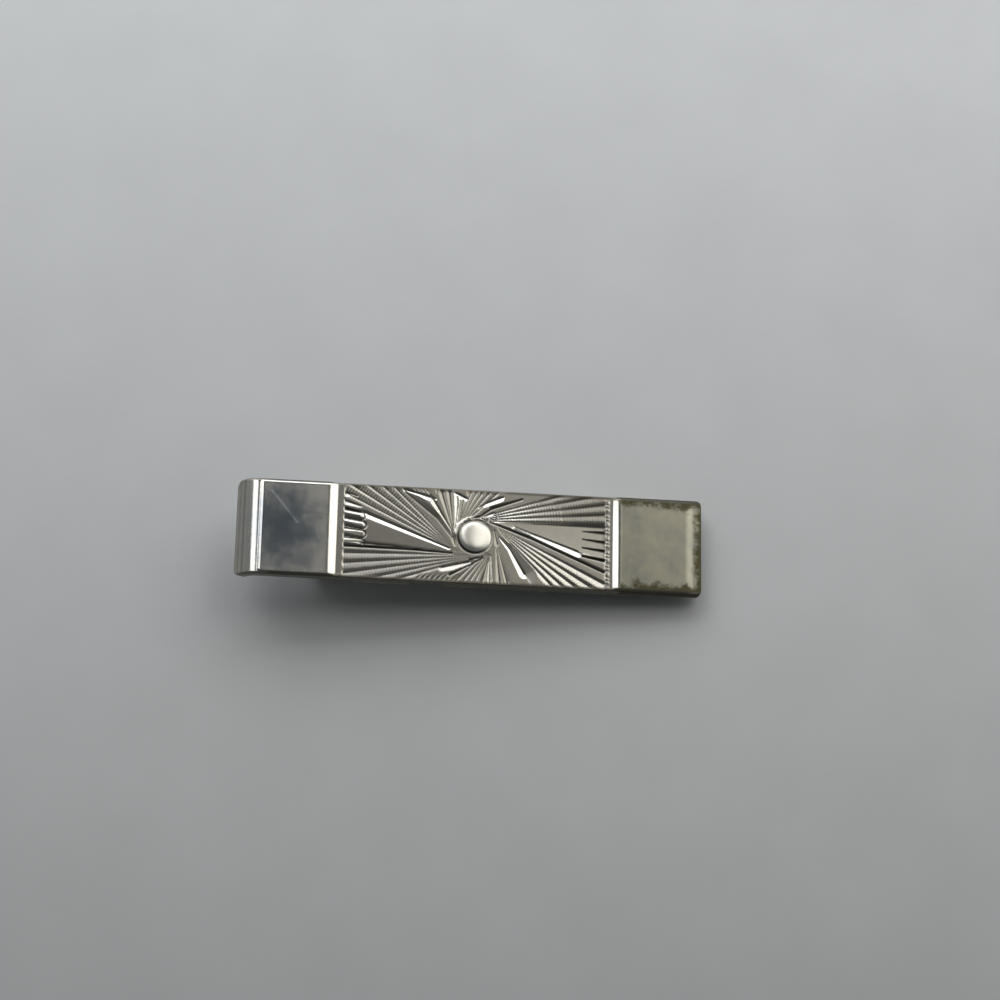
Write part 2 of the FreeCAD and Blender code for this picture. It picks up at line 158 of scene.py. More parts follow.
# Camera: it looks at a point of the floor
CAMERA_AZIMUTH = math.radians(1.42)
CAMERA_ELEVATION = math.radians(69.28)
CAMERA_ROLL = math.radians(-0.3)
CAMERA_FIELD = math.radians(17.26)
CAMERA_TARGET = Vector((2.667, 4.968, 0.0)) * MM
CAMERA_DISTANCE = 300.0 * MM
CAMERA_SENSOR = 36.0
CAMERA_CLIP_START = 10.0 * MM

COIL_PITCH = COIL_GAP + 2 * WIRE_RADIUS
BASE_TOP = PIN_DROP + BASE_THICK
BAR_TOP = BASE_TOP + BAR_THICK
FIELD_HALF_LENGTH = BOSS_PLACE - PANEL_START - BORDER_WIDTH
HALF_WIDTH = BAR_WIDTH / 2
PIN = np.array(frame["joints"][0]["pos_m"]) / MM


def seat_angle(drop, reach, level):
    """The angle by which a point at (reach, drop) turns about the pin to stand at a level."""
    return math.asin(level / math.hypot(reach, drop)) - math.atan2(drop, reach)


LEAN = seat_angle(LIP_HEIGHT - PIN_RISE, JAW_REACH, PIN_DROP - JAW_CLEARANCE)


# Nearness to the bottom of a groove, from 0 to 1, over which tarnish sets in
RIB_SOOT = (0.74, 0.95)
WALL_SOOT = (0.72, 0.95)
DARK_SOOT = (0.25, 0.65)
NO_SOOT = (1.0, 1.1)
# Depth of a cut from which its tarnish counts in full
FULL_SOOT_DEPTH = 0.06


class Cut(NamedTuple):
    """A groove of the ornament from start to end, with the widths of its left and right walls and its
    depth given at both ends. Walls are flat at bend 1, bulged above 1 and hollow below 1. Milled walls
    carry fine cross lines. Bright says how polished the left and the right wall are, and fade how much of
    that is gone at the end."""
    start: tuple
    end: tuple
    left: tuple
    right: tuple
    depth: tuple
    bend: float = 1.0
    soot: tuple = WALL_SOOT
    milled: float = 0.0
    bright: tuple = (0.0, 0.0)
    fade: float = 0.0


# Fans of the pinwheel ornament, in millimetres from the middle of the boss. The fans of its right half are
# turned by half a turn about a point a little below the boss, and differ in depth and polish
TURN_DROP = 0.13
LONG_FAN = dict(focus=(-1.6, -1.47), first=134.4, step=4.75, count=5, start=0.5, slant=0.7, milled=0.8,
                depth=0.11, rise=0.13)
SHORT_FAN = dict(focus=(0.53, -1.75), first=181.6, step=4.45, count=5, start=1.0, milled=0.4)
HATCH_FAN = dict(focus=(-1.8, 0.3), first=47.0, step=6.0, count=5, start=1.2, slant=0.5, milled=0.0,
                 depth=0.1, rise=0.5)
LEFT_LONG_FAN = dict(LONG_FAN, bright=(0.1, 0.0))
LEFT_SHORT_FAN = dict(SHORT_FAN, slant=0.36, depth=0.08, rise=0.2, bright=(0.25, 0.0))
RIGHT_LONG_FAN = dict(LONG_FAN, bright=(0.0, 0.42))
RIGHT_SHORT_FAN = dict(SHORT_FAN, slant=0.64, depth=0.05, rise=1.0, bright=(0.3, 0.9), fade=1.0,
                       soot=(0.85, 1.0))
RIGHT_OUTER_FAN = dict(SHORT_FAN, slant=0.64, depth=0.075, rise=0.3, start=4.0, soot=(0.45, 0.95))
FAN_BEND = 1.25
COMB_BEND = 1.9

# Single cuts: those that both halves have, then those left of the boss and those right of it
SOFT_CUTS = [
    Cut((-1.95, 0.8), (-2.4, 4.6), (0.08, 0.6), (0.06, 0.4), (0.03, 0.15)),
    Cut((-2.05, 0.6), (-3.2, 4.6), (0.06, 0.4), (0.08, 0.5), (0.03, 0.14)),
    Cut((-0.75, 1.6), (0.46, 1.95), (0.1, 0.14), (0.08, 0.1), (0.06, 0.14), soot=DARK_SOOT),
    Cut((1.75, 0.6), (2.05, -0.6), (0.2, 0.3), (0.2, 0.3), (0.05, 0.06)),
]
LEFT_CUTS = [
    Cut((-2.3, -1.2), (-10.0, 1.86), (0.22, 0.5), (0.05, 0.14), (0.09, 0.2), bright=(1.0, 0.0)),
    Cut((-2.0, -1.68), (-5.4, -1.5), (0.1, 0.14), (0.12, 0.16), (0.12, 0.18), soot=DARK_SOOT),
    Cut((-5.4, -1.5), (-11.7, -1.42), (0.14, 0.2), (0.16, 0.2), (0.18, 0.2), soot=DARK_SOOT),
    Cut((-2.0, -1.5), (-9.9, -1.2), (0.1, 0.1), (0.5, 2.2), (0.02, 0.08)),
    Cut((-10.0, 1.74), (-11.7, 2.1), (0.12, 0.22), (0.12, 0.22), (0.08, 0.17), COMB_BEND, DARK_SOOT),
    Cut((-10.6, 3.32), (-11.75, 3.68), (0.26, 0.5), (0.05, 0.1), (0.1, 0.23), bright=(0.9, 0.0)),
    Cut((-10.3, 2.36), (-11.75, 2.84), (0.2, 0.42), (0.05, 0.1), (0.05, 0.15), bright=(0.35, 0.0)),
    Cut((-2.05, -0.2), (-3.4, 1.6), (0.1, 0.14), (0.2, 0.4), (0.08, 0.16)),
    Cut((-3.4, 1.6), (-6.3, 3.95), (0.14, 0.2), (0.4, 0.7), (0.16, 0.16)),
    Cut((-2.0, 0.3), (-3.15, 2.25), (0.08, 0.28), (0.05, 0.1), (0.05, 0.12), bright=(0.5, 0.0)),
    Cut((-3.15, 2.25), (-3.88, 3.54), (0.25, 0.44), (0.08, 0.1), (0.12, 0.18), bright=(1.0, 0.0)),
    Cut((-3.88, 3.54), (-5.1, 3.86), (0.44, 0.32), (0.1, 0.1), (0.18, 0.14), bright=(1.0, 0.0)),
    Cut((-5.1, 3.86), (-6.1, 4.14), (0.32, 0.5), (0.1, 0.1), (0.14, 0.2), bright=(1.0, 0.0)),
    Cut((-2.9, -3.02), (-0.55, -2.34), (0.06, 0.08), (0.46, 0.66), (0.12, 0.19), milled=3.0,
        bright=(0.0, 0.35)),
    Cut((-2.2, -3.7), (0.7, -2.0), (0.16, 0.12), (0.2, 0.14), (0.15, 0.1), soot=DARK_SOOT),
]
RIGHT_CUTS = [
    Cut((1.3, 1.44), (4.83, 0.25), (0.06, 0.16), (0.1, 0.24), (0.06, 0.17), soot=DARK_SOOT),
    Cut((4.83, 0.25), (11.7, -2.74), (0.1, 0.16), (0.18, 0.2), (0.17, 0.18), soot=DARK_SOOT),
    Cut((2.3, 1.5), (11.9, 1.5), (0.05, 0.2), (0.12, 3.3), (0.02, 0.18), 0.35, NO_SOOT, bright=(0.0, 0.1)),
    Cut((3.6, 1.13), (9.25, -0.9), (0.1, 0.16), (0.36, 0.62), (0.05, 0.15), 1.0, NO_SOOT, bright=(0.3, 1.0)),
    Cut((2.2, 0.0), (3.15, -1.0), (0.1, 0.5), (0.08, 0.24), (0.03, 0.1), bright=(0.0, 1.0)),
    Cut((3.15, -1.0), (4.5, -3.25), (0.5, 1.2), (0.24, 0.52), (0.1, 0.18), bright=(0.0, 1.0)),
    Cut((0.8, 1.98), (1.5, 2.3), (0.08, 0.08), (0.2, 0.32), (0.06, 0.1), bright=(0.0, 1.0)),
    Cut((1.2, -2.0), (0.6, -4.6), (0.1, 0.5), (0.1, 0.4), (0.04, 0.16)),
    Cut((1.4, -1.8), (1.4, -4.6), (0.1, 0.3), (0.1, 0.3), (0.03, 0.12), bright=(0.4, 0.4)),
]

# Gaps of the comb on the right: their ends in the ribs and at the border
RIGHT_COMB = [((9.75, 1.08), (11.7, 1.04)), ((9.7, 0.32), (11.7, 0.12)),
              ((9.65, -0.5), (11.7, -0.72)), ((9.65, -1.3), (11.7, -1.62))]
RIGHT_CUTS += [Cut(tip, border, (0.14, 0.32), (0.14, 0.32), (0.2, 0.28), COMB_BEND, DARK_SOOT)
               for tip, border in RIGHT_COMB]

# Fingers of the comb on the left: middle lines from the border inwards
FINGERS = [((-11.9, 1.66), (-10.25, 1.42)), ((-11.9, 0.84), (-10.15, 0.58)),
           ((-11.9, -0.1), (-10.15, -0.28)), ((-11.9, -0.98), (-10.2, -1.12))]
FINGER_HALF_WIDTH = 0.38
FINGER_WALL = 0.12
FINGER_DEPTH = 0.15
FINGER_SOOT = (0.5, 0.9)
FINGER_POLISH = 0.7
FINGER_POLISH_END = (0.3, 0.6)

# Cuts of the wedge on the far side of the boss
WEDGE_CUTS = [
    Cut((-1.64, 3.7), (-1.68, 1.8), (0.24, 0.14), (0.3, 0.2), (0.14, 0.08), bright=(0.8, 0.8)),
    Cut((-1.68, 1.8), (-1.83, 0.4), (0.14, 0.08), (0.2, 0.1), (0.08, 0.04), bright=(0.5, 0.5)),
    Cut((-0.85, 3.64), (-1.65, 4.02), (0.36, 0.36), (0.1, 0.1), (0.15, 0.15), bright=(1.0, 0.0)),
    Cut((-1.1, 3.5), (-1.5, 1.2), (0.24, 0.08), (0.14, 0.08), (0.1, 0.04)),
    Cut((0.3, 2.8), (0.95, 3.26), (0.06, 0.1), (0.2, 0.36), (0.06, 0.14), bright=(0.0, 0.8)),
    Cut((1.05, 3.3), (2.2, 3.84), (0.1, 0.1), (0.38, 0.42), (0.14, 0.17), bright=(0.0, 1.0)),
    Cut((0.46, 1.95), (1.4, 2.72), (0.14, 0.2), (0.08, 0.12), (0.14, 0.16), soot=DARK_SOOT),
    Cut((1.4, 2.72), (4.2, 3.78), (0.3, 0.12), (0.12, 0.1), (0.16, 0.1), soot=DARK_SOOT),
]

# Teeth and slanted hatching along the edges of the panel, in runs from and to places along it
TOOTH_PITCH = 0.27
TOOTH_RUNS = [(-9.0, -6.4), (-3.5, -1.9), (-0.7, 1.6)]
TOOTH_ENDS = (4.0, 4.4)
TOOTH_DEPTHS = (0.02, 0.09)
EDGE_HATCH_PITCH = 0.34
EDGE_HATCH_RUNS = [(-6.6, -3.9)]
EDGE_HATCH_SLANT = 0.35
NEAR_HATCH_RUN = (-5.2, -1.6)
NEAR_HATCH_PITCH = 0.45
NEAR_HATCH_ENDS = ((0.55, -3.7), (-0.05, -4.4))
NEAR_HATCH_DEPTHS = (0.03, 0.12)

# Fine cross lines that milling left on the ribs, and the length of a rib over which they come in
MILL_PERIOD = 0.26
MILL_FADE = 5.0
MILL_HEIGHT = 0.025
MILL_STRENGTH = 0.6

# Bluish film and scratch on the hooked pad, in millimetres from the middle of the boss
FILM_MIDDLE = (-17.2, 0.0, 0.0)
FILM_REACH = (2.9, 3.6, 1.0)
FILM_RAGGED = 2.2
FILM_FADE = (0.6, -1.1)
SCRATCH_START = (-18.3, 3.4, 0.0)
SCRATCH_TURN = math.radians(-51.0)
SCRATCH_LENGTH = 3.9
SCRATCH_HALF_WIDTH = 0.2

# Stretches along the bar: the pad that the film is on and the worn pad at the tip, and the lip of the hook,
# which is painted darker as shade with painted reflection bands across it
FILM_START = (2.3, 2.6)
FILM_END = (8.15, 8.4)
FILM_RIM_RUN = (0.15, 0.5)
TIP_WEAR_RUN = (-0.1, 0.3)
LIP_SHADE_RUN = (1.5, 2.1)
HOOK_PAINTED_BAND_PITCH = 0.55
HOOK_PAINTED_BAND_SWING = 0.2

# Darkened rim, in from the long edges: painted shade on the near one from the hook on, and dulling on the
# far one right of the boss. Both start at places measured from the middle of the boss
DULL_AND_SHADED_RIM = 1.3
DULL_AND_SHADED_RIM_RUN = (0.42, 0.2)
NEAR_RIM_SHADE_RUN = (-19.5, -18.0)
FAR_RIM_RUN = (1.8, 3.0)

# Stain of the worn pad, which creeps in from its rim, and less far from the tip
STAIN_REACH = 3.0
STAIN_TIP_SHARE = 1.3
STAIN_RAGGED = 3.6
STAIN_FADE = (-0.75, -1.35)
STAIN_FULL = 0.95

# Silver plate: darker and paler tones of its mottled metal, what lies on it, the painted shade of its edges
# and of the ring round the boss, and the grain sizes
CLEAN_SILVER = ("#CFCBC2", "#E6E3DA")
DULL_SILVER = ("#8D8980", "#ABA79D")
WORN_SILVER = ("#686B70", "#A9A58C")
BLUISH_FILM = "#BAC3CC"
OLIVE_STAIN = "#49442F"
# Dull rim tone, also used as painted shade on the side walls, the near rim and the hook's lip
DULL_RIM_AND_PAINTED_SHADE = "#6A665C"
# Tarnish tone of the grooves, also used as painted shade in the ring round the boss on its near left
TARNISH_AND_SHADE = "#2B2820"
RIM_AND_SHADE_COVER = 0.75
TARNISH_AND_SHADE_COVER = 0.95
CLOUD_SIZE = 1.9
BLOTCH_SIZE = 1.3
GRAIN_SIZE = 0.3
GRAIN_HEIGHT = 0.01
GRAIN_STRENGTH = 0.3

# Roughness of polished plate, and what the hooked pad adds to it without the film and under it
PLATE_ROUGH = 0.13
PAD_HAZE = (0.12, 0.02)

# Nickelled steel: grain drawn out along the strip, dull patches and broken edges
DRAWN_GRAIN = 0.18
DRAWN_STRETCH = 0.04
DRAWN_HEIGHT = 0.01
DRAWN_STRENGTH = 0.15
PATCH_SIZE = 3.0
PATCH_FADE = (0.42, 0.68)
PATCH_ROUGH = (-0.06, 0.1)
BROKEN_EDGE = 0.06

# Paper floor: painted light falloff, from a dimmer tone at the near side to a lighter one at the far side,
# and its mottling
FLOOR_REACH = 600.0
FLOOR_FALLOFF_RUN = (-45.0, 55.0)
FLOOR_PAINTED_FALLOFF_TONES = ("#B8B9B9", "#E6E8E8")
MOTTLE_SIZE = 9.0
MOTTLE_SHADE = (0.93, 1.05)
PAPER_ROUGH = 0.9

# Room: its walls and ceiling, the way to the window, and where one tone passes into the next
WINDOW_WALL = "#EAEFF2"
NEAR_WALL = "#3E3F40"
NEAR_WALL_IN_METAL = "#75787A"
CEILING = "#4A4D4E"
WINDOW_WAY = (0.3, 0.95, 0.0)
WINDOW_RUN = (-0.3, 0.7)
CEILING_RUN = (0.4, 0.85)


class Lamp(NamedTuple):
    """A soft rectangular lamp, with its place and size in millimetres and its power in watts."""
    name: str
    place: tuple
    size: tuple
    power: float
    colour: str


LAMPS = [
    Lamp("far_window", (-60, 400, 290), (600, 300), 1.2, "#FBFCFF"),
    Lamp("left_window", (-160, 165, 385), (105, 320), 0.18, "#FFFFFF"),
    Lamp("right_window", (258, 185, 315), (220, 360), 0.42, "#FFFBF5"),
]

# Grid of the face bar: stations along it, points across half of its top and round half of the rest
PANEL_PITCH = 0.066
PAD_PITCH = 0.2
HOOK_STATIONS = 62
END_STATIONS = 7
HALF_TOP_POINTS = 66
UNDER_POINTS = 6
LOWER_ROLL_POINTS = 4
SIDE_POINTS = 4
UPPER_ROLL_POINTS = 8


def linear(hex_colour):
    """An sRGB hex colour as linear RGBA."""
    channels = [int(hex_colour[index:index + 2], 16) / 255 for index in (1, 3, 5)]
    return [c / 12.92 if c <= 0.04045 else ((c + 0.055) / 1.055)**2.4 for c in channels] + [1.0]


def smooth_step(start, end, value):
    """0 before the start, 1 past the end, and a smooth cubic between. The end may be the lower of the two."""
    share = np.clip((value - start) / (end - start), 0, 1)
    return share * share * (3 - 2 * share)


def add_node(tree, kind, inputs=None, **settings):
    """Add a node with its settings. Inputs are given by name or number, as values or as linked sockets."""
    node = tree.nodes.new(kind)
    for name, value in settings.items():
        setattr(node, name, value)
    for key, value in (inputs or {}).items():
        if isinstance(value, bpy.types.NodeSocket):
            tree.links.new(value, node.inputs[key])
        else:
            node.inputs[key].default_value = value
    return node


def new_material(name):
    """An empty node material and its shader, joined to the output."""
    material = bpy.data.materials.new(name)
    material.use_nodes = True
    tree = material.node_tree
    tree.nodes.clear()
    shader = add_node(tree, "ShaderNodeBsdfPrincipled")
    add_node(tree, "ShaderNodeOutputMaterial", {"Surface": shader.outputs["BSDF"]})
    return material, tree, shader


def tube_mesh(name, rings, material, attributes=None):
    """A closed skin over rings of points that start below, go round by the +Y side and mirror across it.

    Neighbouring rings are joined by quads, and each end by a strip of quads between mirrored points.
    """
    count, around = rings.shape[:2]
    first = (np.arange(count - 1)[:, None] * around + np.arange(around)[None, :]).ravel()
    second = (np.arange(count - 1)[:, None] * around + np.roll(np.arange(around), -1)[None, :]).ravel()
    sides = np.stack([first, first + around, second + around, second], axis=1)
    half = around // 2
    rung = np.arange(1, half - 1)
    cap = np.stack([rung, rung + 1, around - rung - 1, around - rung], axis=1)
    points = np.array([[0, 1, around - 1], [half - 1, half, half + 1]])
    last = (count - 1) * around
    faces = sides.tolist() + cap.tolist() + points.tolist()
    faces += (cap[:, ::-1] + last).tolist() + (points[:, ::-1] + last).tolist()
    mesh = bpy.data.meshes.new(name)
    mesh.from_pydata((rings.reshape(-1, 3) * MM).tolist(), [], faces)
    mesh.polygons.foreach_set("use_smooth", np.ones(len(faces), dtype=bool))
    for key, values in (attributes or {}).items():
        attribute = mesh.attributes.new(key, "FLOAT", "POINT")
        attribute.data.foreach_set("value", values.astype(np.float32).ravel())
    mesh.materials.append(material)
    mesh.update()
    piece = bpy.data.objects.new(name, mesh)
    bpy.context.scene.collection.objects.link(piece)
    return piece


def lean(x, y, z):
    """Points drawn level round the pin, turned by the bar's lean about it and set in the part's frame."""
    return np.stack([
        PIN[0] + x * math.cos(LEAN) + z * math.sin(LEAN),
        PIN[1] + y,
        PIN[2] - x * math.sin(LEAN) + z * math.cos(LEAN),
    ], axis=-1)


def ray_cuts(focus, first, step, count, start, slant, depth, rise, soot=RIB_SOOT, **finish):
    """Grooves evenly turned about a focus, each as wide as its share of the fan, out to the field's edge.

    The slant is the share of the width that the wall on the right takes, so ribs lean like saw teeth.
    The rise is the share of the depth that they start with.
    """
    cuts = []
    for turn in np.radians(first + step * np.arange(count)):
        way = np.array([math.cos(turn), math.sin(turn)])
        edge = np.array([FIELD_HALF_LENGTH, HALF_WIDTH + EDGE_ROLL])
        reach = np.min((np.copysign(edge, way) - focus) / way)
        spread = math.radians(step)
        left = ((1 - slant) * start * spread, (1 - slant) * reach * spread)
        right = (slant * start * spread, slant * reach * spread)
        ends = (focus + way * start, focus + way * reach)
        cuts.append(Cut(*ends, left, right, (depth * rise, depth), FAN_BEND, soot, **finish))
    return cuts


def edge_cuts():
    """Short cuts along the edge of the bar: teeth square to it, and slanted hatching."""
    rows = [(run, TOOTH_PITCH, 0.0) for run in TOOTH_RUNS]
    rows += [(run, EDGE_HATCH_PITCH, EDGE_HATCH_SLANT) for run in EDGE_HATCH_RUNS]
    inner, outer = TOOTH_ENDS
    cuts = []
    for run, pitch, slant in rows:
        wall = (pitch / 2, pitch / 2)
        for place in np.arange(*run, pitch):
            cuts.append(Cut((place, inner), (place - slant, outer), wall, wall, TOOTH_DEPTHS))
    return cuts


def near_hatch():
    """Slanted strokes that run out over the near edge, left of the boss."""
    wall = (NEAR_HATCH_PITCH / 4, NEAR_HATCH_PITCH / 2)
    cuts = []
    for place in np.arange(*NEAR_HATCH_RUN, NEAR_HATCH_PITCH):
        start, end = ((place + over, up) for over, up in NEAR_HATCH_ENDS)
        cuts.append(Cut(start, end, wall, wall, NEAR_HATCH_DEPTHS))
    return cuts


def half_wheel(*fans):
    """The cuts of half of the pinwheel: its own fans, and the cuts that both halves have."""
    return [cut for fan in (*fans, HATCH_FAN) for cut in ray_cuts(**fan)] + edge_cuts() + SOFT_CUTS


def groove(cut, u, v):
    """Nearness to the bottom of one cut, from 0 to 1, with its depth, the distance along it and its polish.

    The nearness is one less the distance from the bottom line in widths of the wall on that side.
    """
    start = np.array(cut.start)
    run = np.array(cut.end) - start
    length = math.hypot(*run)
    over = u - start[0]
    up = v - start[1]
    place = (over * run[0] + up * run[1]) / length
    aside = (up * run[0] - over * run[1]) / length
    share = np.clip(place / length, 0, 1)
    wall = np.where(aside > 0, np.interp(share, (0, 1), cut.left), np.interp(share, (0, 1), cut.right))
    near = np.clip(1 - np.hypot(aside, place - share * length) / wall, 0, 1)
    bright = np.where(aside > 0, *cut.bright) * (1 - cut.fade * share)
    return near, np.interp(share, (0, 1), cut.depth), place, bright


def comb(u, v):
    """Depth, soot and polish of the fingers of the comb, by the distance from their middle lines.

    A finger is crowned like an arch. Outside it a short wall climbs back to the level of the field.
    """
    distance = np.full(u.shape, np.inf)
    for outer, inner in FINGERS:
        share = np.clip((u - outer[0]) / (inner[0] - outer[0]), 0, 1)
        middle = outer[1] + share * (inner[1] - outer[1])
        distance = np.minimum(distance, np.hypot(u - outer[0] - share * (inner[0] - outer[0]), v - middle))
    crown = np.clip(distance / FINGER_HALF_WIDTH, 0, 1)**2
    wall = np.clip(1 - (distance - FINGER_HALF_WIDTH) / FINGER_WALL, 0, 1)
    sunk = np.minimum(crown, wall)
    polish = FINGER_POLISH * (1 - smooth_step(*FINGER_POLISH_END, crown)) * (distance < FINGER_HALF_WIDTH)
    return FINGER_DEPTH * sunk, smooth_step(*FINGER_SOOT, sunk), polish


def carve(u, v):
    """Depth of the ornament, how sooted each point is, the distance along its groove and its finish.

    A cut's depth counts in full at its bottom line and falls with the nearness, to the power of the bend.
    Where cuts cross, the deepest one counts.
    """
    whole = near_hatch() + WEDGE_CUTS + LEFT_CUTS + RIGHT_CUTS
    left = half_wheel(LEFT_LONG_FAN, LEFT_SHORT_FAN) + whole
    right = half_wheel(RIGHT_LONG_FAN, RIGHT_SHORT_FAN, RIGHT_OUTER_FAN)
    placed = [(cut, u, v) for cut in left] + [(cut, -u, -v - 2 * TURN_DROP) for cut in right]
    depth, soot, bright = comb(u, v)
    along = u
    milled = np.zeros(u.shape)
    for cut, over, up in placed:
        near, deepest, place, polish = groove(cut, over, up)
        here = deepest * near**cut.bend
        wins = here > depth
        along = np.where(wins, place, along)
        milled = np.where(wins, cut.milled * np.clip(place / MILL_FADE, 0, 1), milled)
        bright = np.where(wins, polish, bright)
        depth = np.maximum(depth, here)
        soot = np.maximum(soot, smooth_step(*cut.soot, near) * np.clip(deepest / FULL_SOOT_DEPTH, 0, 1))
    return depth, soot, along, milled, bright


def bead_height(u, v):
    """Height of the beaded ridge over the border at the tip: a low arch along v with uneven swellings.

    A slower sine, out of step with the beads, shifts each of them a little.
    """
    arch = np.clip(1 - ((u - BEAD_PLACE) / BEAD_HALF_WIDTH)**2, 0, 1)
    turn = 2 * math.pi * v / BEAD_PITCH
    swelling = np.sin(turn + BEAD_UNEVENNESS * np.sin(turn / math.e))
    return BEAD_RISE * arch * (1 - BEAD_SWELL + BEAD_SWELL * swelling)


def crescent_height(u, v):
    """Height of the crescent beside the boss: an arch across it that fades out towards both horns."""
    reach = np.hypot(u, v)
    turn = np.abs(np.arctan2(v, u) - CRESCENT_MIDDLE)
    turn = np.minimum(turn, 2 * math.pi - turn)
    fade = 1 - smooth_step(CRESCENT_HORN_START, 1, turn / CRESCENT_HALF_TURN)
    return CRESCENT_RISE * fade * np.clip(1 - ((reach - CRESCENT_REACH) / CRESCENT_HALF_WIDTH)**2, 0, 1)


def boss_height(u, v):
    """Height of the boss over the field: a cap curved along the bar, highest left of its middle, that
    falls off at a round shoulder, and a shallow ring outside it."""
    reach = np.hypot(u, v)
    share = np.clip(reach / BOSS_RADIUS, 0, 1)
    cap = BOSS_RISE * (1 - BOSS_FALL * ((u - BOSS_PEAK) / BOSS_RADIUS)**2)
    dome = (cap + RING_DEPTH) * (1 - share**BOSS_FLATNESS)**BOSS_SHOULDER - RING_DEPTH
    ring = -RING_DEPTH * (1 - smooth_step(0, RING_WIDTH, reach - BOSS_RADIUS))
    return np.where(reach < BOSS_RADIUS, dome, ring)


def plate_drop(along, y):
    """Depth of the top of the bar below its raised plates: none on a plate, and a full step outside it.

    The distance to a rectangle with round corners runs the step down over the width of the bevel.
    """
    drop = np.full(y.shape, PLATE_STEP)
    for start, end in PLATES:
        over = np.abs(along - (start + end) / 2) - (end - start) / 2 + PLATE_CORNER
        aside = (np.abs(y) - PLATE_HALF_WIDTH) * PLATE_BEVEL / PLATE_SIDE_BEVEL + PLATE_CORNER
        outside = np.hypot(np.clip(over, 0, None), np.clip(aside, 0, None))
        distance = outside + np.clip(np.maximum(over, aside), None, 0) - PLATE_CORNER
        drop = np.minimum(drop, PLATE_STEP * np.clip(1 + distance / PLATE_BEVEL, 0, 1))
    return drop


def spaced(start, end, pitch):
    """Even places from start up to, but without, the end."""
    return np.linspace(start, end, max(2, round((end - start) / pitch)), endpoint=False)


def bar_stations():
    """Places along the top of the bar, measured from its lip round the hook and on to its tip."""
    hook = HOOK_RADIUS * HOOK_ANGLE
    level = hook - HOOK_RADIUS * math.sin(HOOK_ANGLE)
    tip = level + BAR_LENGTH
    ease = 1 - np.cos(np.linspace(0, math.pi / 2, END_STATIONS))
    lip_end = HOOK_CORNER_RADIUS * ease
    tip_end = tip - TIP_CORNER_RADIUS * ease[::-1]
    places = np.concatenate([
        lip_end,
        np.linspace(HOOK_CORNER_RADIUS, hook, HOOK_STATIONS)[1:-1],
        spaced(hook, level + PLATES[0][0] + 2 * PLATE_BEVEL, PANEL_PITCH / 2),
        spaced(level + PLATES[0][0] + 2 * PLATE_BEVEL, level + LEFT_PAD_END, PAD_PITCH),
        spaced(level + LEFT_PAD_END, level + PANEL_START, PANEL_PITCH),
        spaced(level + PANEL_START, level + PANEL_END, PANEL_PITCH),
        spaced(level + PANEL_END, level + RIGHT_PAD_START, PANEL_PITCH),
        spaced(level + RIGHT_PAD_START, tip - TIP_CORNER_RADIUS, PAD_PITCH),
        tip_end,
    ])
    return places, hook, tip


def rounded_end(distance, radius):
    """How far a corner of that radius has drawn in at a distance from the end: a quarter circle."""
    left = np.clip(radius - distance, 0, radius)
    return radius - np.sqrt(radius**2 - left**2)


def bar_section():
    """Half of the bar's section as shares of the half width and the thickness, plus fixed offsets.

    It runs from the middle of the underside round the side to the middle of the top: the underside, a
    small lower roll, the side, the upper roll and the top.
    """
    under = np.linspace(0, 1, UNDER_POINTS)
    lower = np.linspace(0, math.pi / 2, LOWER_ROLL_POINTS)[1:]
    side = np.linspace(0, 1, SIDE_POINTS)[1:-1]
    upper = np.linspace(0, math.pi / 2, UPPER_ROLL_POINTS)
    top = np.linspace(1, 0, HALF_TOP_POINTS + 1)[1:]
    width_share = np.concatenate([under, np.ones(lower.size + side.size + upper.size), top])
    width_more = np.concatenate([
        -under * UNDER_ROLL,
        -UNDER_ROLL * (1 - np.sin(lower)),
        np.zeros(side.size),
        -EDGE_ROLL * (1 - np.cos(upper)),
        -top * EDGE_ROLL,
    ])
    deep_share = np.concatenate([np.ones(under.size + lower.size), 1 - side, np.zeros(upper.size + top.size)])
    deep_more = np.concatenate([
        np.zeros(under.size),
        -UNDER_ROLL * (1 - np.cos(lower)),
        EDGE_ROLL * side - UNDER_ROLL * (1 - side),
        EDGE_ROLL * (1 - np.sin(upper)),
        np.zeros(top.size),
    ])
    return width_share, width_more, deep_share, deep_more


def mirrored(half, sign):
    """A whole ring from half of one: the inner points come back on the other side, by that sign."""
    return np.concatenate([half, sign * half[..., -2:0:-1]], axis=-1)


def bar_rings(places, to_tip, level):
    """The plain bar before it is struck: the share of the panel's sink at each ring, and for each point its
    place across the bar, its depth below the top line and whether it is on the top or on an edge.

    Near both ends the rings draw in by a quarter circle.
    """
    panel = np.interp(level, (LEFT_PAD_END, PANEL_START, PANEL_END, RIGHT_PAD_START), (0, 1, 1, 0))
    sunk = rounded_end(places, EDGE_ROLL) + rounded_end(to_tip, EDGE_ROLL) + PANEL_SINK * panel
    thick = BAR_THICK - sunk - rounded_end(places, UNDER_ROLL) - rounded_end(to_tip, UNDER_ROLL)
    drawn_in = rounded_end(places, HOOK_CORNER_RADIUS) + rounded_end(to_tip, TIP_CORNER_RADIUS)
    width_share, width_more, deep_share, deep_more = bar_section()
    y = mirrored((HALF_WIDTH - drawn_in) * width_share + width_more, -1)
    below = mirrored(thick * deep_share + deep_more, 1)
    on_top = np.where(below < TOP_ROLL_SHARE * EDGE_ROLL, 1.0, 0.0)
    on_edge = mirrored(np.where(width_share < 1, 0.0, 1.0), 1)
    return panel, y, below + sunk, on_top, on_edge


def ring_tarnish_and_shade(u, v):
    """Tarnish and painted shade in the ring round the boss, from 0 to 1: a little tarnish all round, and
    painted shade most on its near left.
    """
    reach = np.hypot(u, v)
    off_line = np.abs(reach - BOSS_RADIUS - RING_DARK_OFFSET)
    facing = (RING_SHADE_WAY[0] * u + RING_SHADE_WAY[1] * v) / np.maximum(reach, BOSS_RADIUS)
    amount = RING_SOOT_LEAST + (1 - RING_SOOT_LEAST) * smooth_step(*RING_SHADE_TURN, facing)
    return (1 - smooth_step(*RING_DARK_FADE, off_line)) * amount


